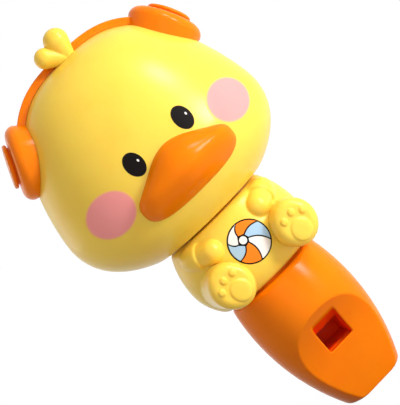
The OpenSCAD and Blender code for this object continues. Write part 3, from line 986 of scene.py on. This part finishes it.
cup_z = head_z0 + 34 * mm
cup_r = 7.9 * mm
cup_out = 2.8 * mm
cup_round = 2.1 * mm
cup_tilt = math.radians(26)
cup_seat = 0.04 * mm
cap_r = 4.65 * mm
ear_cap_t = 0.9 * mm
ear_cap_seat = 0.02 * mm
cap_groove = 0.35 * mm
edge_steps = 12
for side, name in ((1, "left"), (-1, "right")):
    place = (
        Matrix.Translation((side * head_side(cup_z), 0, cup_z))
        @ Matrix.Rotation(side * (math.pi / 2 - cup_tilt), 4, "Y")
        @ Matrix.Translation((0, 0, cup_out))
    )
    depth = cup_out + cup_r
    rim = [(0, -depth), (cup_r - cup_round, -depth)]
    rim += arc(cup_r - cup_round, -cup_round, cup_round, 0, 90, edge_steps)
    rim.append((0, 0))
    cup = spun(name + "_ear_cup_moulding", rim)
    put(cup, place)
    cut(cup, head_form("head_seat", cup_seat))
    shade(cup)
    dress(cup, headphone_plastic, "head", "orange_plastic", name + "_ear_cup")
    half_t = ear_cap_t / 2
    neck = cap_r - 2 * cap_groove
    shape = [(0, ear_cap_seat), (neck, ear_cap_seat), (neck, cap_groove)]
    shape += arc(cap_r - half_t, cap_groove + half_t, half_t, -90, 90, edge_steps)
    shape.append((0, cap_groove + ear_cap_t))
    ear_cap = spun(name + "_ear_cap_moulding", shape)
    put(ear_cap, place)
    shade(ear_cap)
    dress(ear_cap, headphone_plastic, "head", "orange_plastic", name + "_ear_cap")


# Floor, lights and camera
# A white table top in a white surround. It throws back little light on the duckling's right,
# where the barrel stays in shade. Two soft lights stand in front on its left, weak ones behind
# its right side and in front, and a long lens looks on from the photograph's angle.

floor_r = 3
shade_spot = Vector((-54, 10, 0)) * mm
shade_from = 40 * mm
shade_to = 96 * mm
floor_dark = 0.06
floor_pale = 0.82
glow_strength = 1.07
glow_share = 0.92
white = (1, 1, 1, 1)
surround_tone = (0.47, 0.423, 0.372, 1)
lamp_tone = (1, 0.98, 0.95)


def shown(nodes, links):
    """A value that is 1 for rays which show the background as it is, and 0 for those that light."""
    rays = nodes.new("ShaderNodeLightPath")
    mirror = nodes.new("ShaderNodeMath")
    mirror.operation = "MAXIMUM"
    either = nodes.new("ShaderNodeMath")
    either.operation = "MAXIMUM"
    links.new(rays.outputs["Is Glossy Ray"], mirror.inputs[0])
    links.new(rays.outputs["Is Transmission Ray"], mirror.inputs[1])
    links.new(rays.outputs["Is Camera Ray"], either.inputs[0])
    links.new(mirror.outputs["Value"], either.inputs[1])
    return either.outputs["Value"]


bpy.ops.object.select_all(action="DESELECT")
bpy.ops.mesh.primitive_circle_add(vertices=64, radius=floor_r, fill_type="NGON")
floor = bpy.context.object
floor.name = "floor"
paper = bpy.data.materials.new("white_paper")
paper.use_nodes = True
nodes = paper.node_tree.nodes
links = paper.node_tree.links
nodes.remove(nodes["Principled BSDF"])
matte = nodes.new("ShaderNodeBsdfDiffuse")
place = nodes.new("ShaderNodeTexCoord")
spot = nodes.new("ShaderNodeVectorMath")
spot.operation = "DISTANCE"
spot.inputs[1].default_value = shade_spot
bounce = nodes.new("ShaderNodeMapRange")
bounce.inputs["From Min"].default_value = shade_from
bounce.inputs["From Max"].default_value = shade_to
bounce.inputs["To Min"].default_value = floor_dark
bounce.inputs["To Max"].default_value = floor_pale
links.new(place.outputs["Object"], spot.inputs[0])
links.new(spot.outputs["Value"], bounce.inputs["Value"])
links.new(bounce.outputs["Result"], matte.inputs["Color"])
glow = nodes.new("ShaderNodeEmission")
glow.inputs["Color"].default_value = white
glow.inputs["Strength"].default_value = glow_strength
level = nodes.new("ShaderNodeMath")
level.operation = "MULTIPLY"
level.inputs[1].default_value = glow_share
mix = nodes.new("ShaderNodeMixShader")
links.new(shown(nodes, links), level.inputs[0])
links.new(level.outputs["Value"], mix.inputs["Fac"])
links.new(matte.outputs["BSDF"], mix.inputs[1])
links.new(glow.outputs["Emission"], mix.inputs[2])
links.new(mix.outputs["Shader"], nodes["Material Output"].inputs["Surface"])
floor.data.materials.append(paper)

scene = bpy.context.scene
scene.view_settings.view_transform = "Standard"
world = bpy.data.worlds.new("surround")
scene.world = world
world.use_nodes = True
nodes = world.node_tree.nodes
links = world.node_tree.links
air = nodes["Background"]
tone = nodes.new("ShaderNodeMixRGB")
tone.inputs["Color1"].default_value = surround_tone
tone.inputs["Color2"].default_value = white
links.new(shown(nodes, links), tone.inputs["Fac"])
links.new(tone.outputs["Color"], air.inputs["Color"])

aim = Vector((-0.1, 0, 52.44)) * mm


def lamp(name, place, size, watts):
    """A square soft light that looks at the middle of the object."""
    place = Vector(place) * mm
    bpy.ops.object.select_all(action="DESELECT")
    bpy.ops.object.light_add(type="AREA", location=place)
    light = bpy.context.object
    light.name = name
    light.data.size = size * mm
    light.data.energy = watts
    light.data.color = lamp_tone
    light.rotation_euler = (aim - place).to_track_quat("-Z", "Y").to_euler()


lamp("key_light", (308, -270, 112), size=95, watts=1.14)
lamp("high_light", (298, -209, 280), size=80, watts=0.6)
lamp("rim_light", (-280, 220, 160), size=250, watts=0.24)
lamp("fill_light", (-40, -390, 40), size=300, watts=0.18)

view_turn = math.radians(-7.6)
view_rise = math.radians(5)
view_roll = math.radians(44.3)
distance = 295.9 * mm
frame_side = 84.2 * mm
back = Vector(
    (
        math.sin(view_turn) * math.cos(view_rise),
        -math.cos(view_turn) * math.cos(view_rise),
        math.sin(view_rise),
    )
)
level_right = Vector((math.cos(view_turn), math.sin(view_turn), 0))
level_up = back.cross(level_right)
right = level_right * math.cos(view_roll) - level_up * math.sin(view_roll)
up = back.cross(right)
bpy.ops.object.camera_add(location=aim + back * distance)
camera = bpy.context.object
camera.rotation_euler = Matrix((right, up, back)).transposed().to_euler()
camera.data.lens = camera.data.sensor_width * distance / frame_side
camera.data.clip_start = 10 * mm
scene.camera = camera
